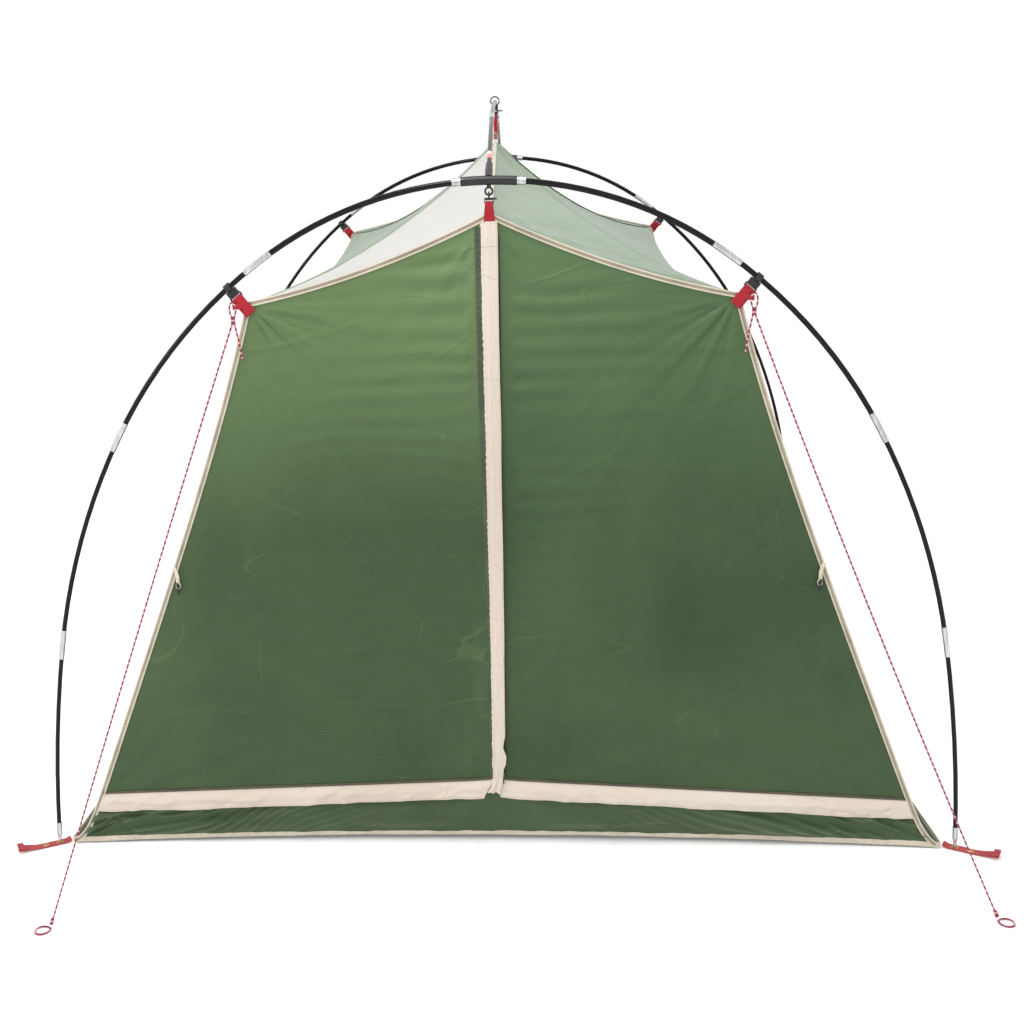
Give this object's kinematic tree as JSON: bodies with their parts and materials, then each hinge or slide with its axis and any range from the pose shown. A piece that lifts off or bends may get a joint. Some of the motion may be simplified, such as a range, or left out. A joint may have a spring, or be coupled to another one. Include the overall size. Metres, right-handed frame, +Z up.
{
  "type": "tent on poles",
  "caption": "Dome inner tent hung from two upright hoops and an arched ridge pole, with a zipped double door that folds outwards, foot webbing and guy lines.",
  "frame": {"origin": "on the ground at the centre of the footprint, without the guy lines", "axes": "+Z up, +X to the right as seen from in front of the door, the door on the -Y side"},
  "size_m": [2.3892, 2.5699, 1.7872],
  "materials": {
    "pole_fibre": "satin woven glass fibre",
    "steel": "satin",
    "black_plastic": "moulded",
    "shock_cord": "braided",
    "red_webbing": "woven webbing",
    "brass": "polished",
    "dark_green_cloth": "ripstop nylon",
    "light_green_cloth": "light nylon",
    "pale_cloth": "fine mesh cloth",
    "floor_cloth": "coated",
    "cream_tape": "woven tape",
    "zip_nylon": "coil",
    "zip_metal": "enamelled",
    "guy_cord": "braided, flecked"
  },
  "bodies": {
    "root": {"apex_hooks": "black_plastic", "foot_grommets": "brass", "foot_webbing": "red_webbing", "front_hub": "black_plastic", "front_panel_left": "dark_green_cloth", "front_panel_right": "dark_green_cloth", "front_sill": "dark_green_cloth", "ground_hem": "cream_tape", "groundsheet": "floor_cloth", "guy_knots": "guy_cord", "guy_left": "guy_cord", "guy_right": "guy_cord", "guy_tail_left": "guy_cord", "guy_tail_right": "guy_cord", "hoop_ferrules": "steel", "hoop_poles_1": "pole_fibre", "hoop_poles_2": "pole_fibre", "hoop_poles_3": "pole_fibre", "hoop_poles_4": "pole_fibre", "hub_rings": "steel", "peak_clip": "black_plastic", "peak_strap": "red_webbing", "peg_loops": "guy_cord", "pole_tips": "steel", "rear_hub": "black_plastic", "rear_wall": "dark_green_cloth", "ridge_collars": "black_plastic", "ridge_ferrules": "steel", "ridge_poles": "pole_fibre", "roof_front_left": "pale_cloth", "roof_front_right": "light_green_cloth", "roof_left": "light_green_cloth", "roof_rear_left": "light_green_cloth", "roof_rear_right": "light_green_cloth", "roof_right": "light_green_cloth", "roof_seams": "cream_tape", "seam_piping": "cream_tape", "shock_cords": "shock_cord", "shoulder_clips": "black_plastic", "side_wall_left": "dark_green_cloth", "side_wall_right": "dark_green_cloth", "webbing_tabs": "red_webbing", "zip_coil_bottom": "zip_nylon"},
    "door_left": {"door_left": "dark_green_cloth", "storm_flap": "cream_tape", "rain_flap_left": "cream_tape", "zip_coil_left": "zip_nylon"},
    "door_right": {"door_right": "dark_green_cloth", "rain_flap_right": "cream_tape", "zip_coil_right": "zip_nylon"},
    "slider_upright": {"slider_upright": "zip_metal"},
    "slider_left": {"slider_left": "zip_metal"},
    "slider_right": {"slider_right": "zip_metal"},
    "puller_upright": {"puller_upright": "zip_metal"},
    "puller_left": {"puller_left": "zip_metal"},
    "puller_right": {"puller_right": "zip_metal"},
    "tie_left": {"tie_tape_left": "cream_tape", "toggle_left": "black_plastic"},
    "tie_right": {"tie_tape_right": "cream_tape", "toggle_right": "black_plastic"}
  },
  "joints": [
    {"name": "door_left_fold", "type": "hinge", "parent": "root", "child": "door_left", "pos_m": [0, -1.0456, 1.518], "axis": [-0.5673, 0, -0.8235], "range_deg": [0, 95]},
    {"name": "door_right_fold", "type": "hinge", "parent": "root", "child": "door_right", "pos_m": [0, -1.0456, 1.518], "axis": [-0.5673, 0, 0.8235], "range_deg": [0, 95]},
    {"name": "upright_zip", "type": "slide", "parent": "door_left", "child": "slider_upright", "axis": [0, 0, 1], "range_m": [0, 1.25]},
    {"name": "bottom_zip_left", "type": "slide", "parent": "root", "child": "slider_left", "axis": [-0.9986, 0, -0.0535], "range_m": [0, 0.86]},
    {"name": "bottom_zip_right", "type": "slide", "parent": "root", "child": "slider_right", "axis": [0.9986, 0, -0.0535], "range_m": [0, 0.86]},
    {"name": "upright_puller_swing", "type": "hinge", "parent": "slider_upright", "child": "puller_upright", "pos_m": [0.0144, -1.045, 0.192], "axis": [0, 1, 0], "range_deg": [-15, 15]},
    {"name": "left_puller_swing", "type": "hinge", "parent": "slider_left", "child": "puller_left", "pos_m": [-0.04179, -1.045, 0.15315], "axis": [0, 1, 0], "range_deg": [-20, 20]},
    {"name": "right_puller_swing", "type": "hinge", "parent": "slider_right", "child": "puller_right", "pos_m": [0.04179, -1.045, 0.15315], "axis": [0, 1, 0], "range_deg": [-20, 20]},
    {"name": "tie_left_swing", "type": "hinge", "parent": "root", "child": "tie_left", "pos_m": [-0.746, -1.054, 0.722], "axis": [0, 1, 0], "range_deg": [-60, 60]},
    {"name": "tie_right_swing", "type": "hinge", "parent": "root", "child": "tie_right", "pos_m": [0.746, -1.054, 0.722], "axis": [0, 1, 0], "range_deg": [-60, 60]}
  ]
}
